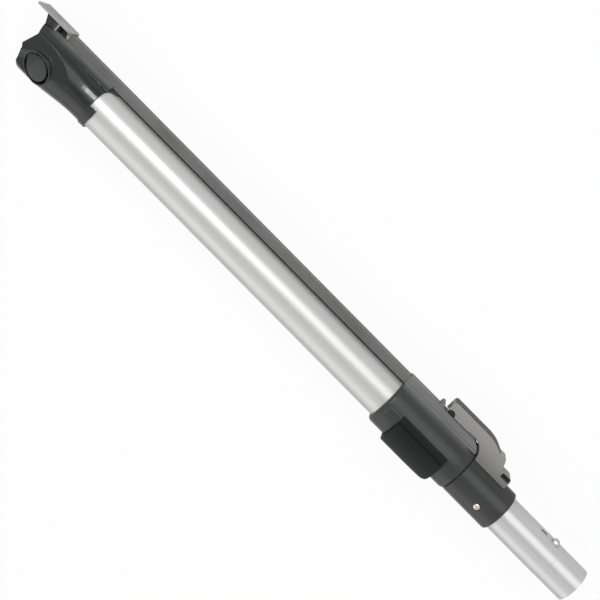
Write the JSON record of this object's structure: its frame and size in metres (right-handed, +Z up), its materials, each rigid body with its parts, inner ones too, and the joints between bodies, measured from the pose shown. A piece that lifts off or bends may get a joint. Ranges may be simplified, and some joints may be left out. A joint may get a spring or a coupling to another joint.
{
  "type": "electric vacuum wand",
  "caption": "Telescopic vacuum cleaner wand with a power lead channel, a push-button handle socket, a thumb-slide tube lock, a plug outlet housing and a round nozzle spigot.",
  "frame": {"origin": "centre of the handle socket's bore, in the plane where its full wall begins", "axes": "+X along the tubes from the handle socket to the nozzle spigot, +Z up, with the wand lying at rest on its far side and its cable channel towards +Y"},
  "size_m": [0.6265, 0.0672, 0.0491],
  "materials": {
    "aluminium_tube": "satin anodised, drawn lengthways",
    "gloss_dark_grey": "polished moulding",
    "satin_dark_grey": "satin moulding",
    "light_grey": "satin moulding",
    "slide_grey": "fine matt grain",
    "black_insulator": "matt moulding",
    "contact_brass": "bright turned",
    "spring_steel": "bright",
    "white_nylon": "plain moulding",
    "seal_rubber": "matt"
  },
  "bodies": {
    "upper": {"outer_tube": "aluminium_tube", "handle_socket": "gloss_dark_grey", "socket_liner": "satin_dark_grey", "connector_hood": "light_grey", "contact_block": "black_insulator", "contact_pins": "contact_brass", "cable_channel": "light_grey", "coiled_lead": "black_insulator", "tube_clip": "satin_dark_grey", "collar_housing": "satin_dark_grey", "channel_cover": "light_grey", "slide_retainer": "satin_dark_grey", "guide_bush": "white_nylon", "wiper_seal": "seal_rubber", "collar_rivets": "spring_steel", "button_spring": "spring_steel", "slide_spring": "spring_steel"},
    "lower": {"inner_tube": "aluminium_tube", "guide_ring": "white_nylon", "channel_rod": "black_insulator", "outlet_lead": "black_insulator", "lower_sleeve": "satin_dark_grey", "outlet_housing": "light_grey", "outlet_lid": "satin_dark_grey", "outlet_block": "black_insulator", "outlet_contacts": "contact_brass", "sleeve_screw": "spring_steel", "snap_spring": "spring_steel"},
    "button": {"release_button": "gloss_dark_grey"},
    "slide": {"thumb_slide": "slide_grey"},
    "key": {"lock_key": "spring_steel"},
    "catch": {"snap_button": "spring_steel"}
  },
  "joints": [
    {"name": "telescope", "type": "slide", "parent": "upper", "child": "lower", "axis": [1, 0, 0], "range_m": [0, 0.33], "deforming": ["coiled_lead"]},
    {"name": "release_press", "type": "hinge", "parent": "upper", "child": "button", "pos_m": [0.00908, -0.00308, 0.01768], "axis": [0, 0.9851, 0.1718], "range_deg": [0, 9], "stiffness_Nm_per_rad": 0.15, "springref_deg": -2.86, "deforming": ["button_spring"]},
    {"name": "thumb_slide", "type": "slide", "parent": "upper", "child": "slide", "axis": [1, 0, 0], "range_m": [0, 0.006], "stiffness_N_per_m": 400, "springref_m": -0.004, "deforming": ["slide_spring"]},
    {"name": "lock_lift", "type": "slide", "parent": "upper", "child": "key", "axis": [0, -0.939, 0.3438], "range_m": [0, 0.0014]},
    {"name": "snap_press", "type": "slide", "parent": "lower", "child": "catch", "axis": [0, -1, 0.0019], "range_m": [0, 0.0035], "stiffness_N_per_m": 900, "springref_m": -0.003, "deforming": ["snap_spring"]}
  ],
  "couplings": [
    {"joint": "lock_lift", "follows": "thumb_slide", "ratio": 0.23333}
  ]
}
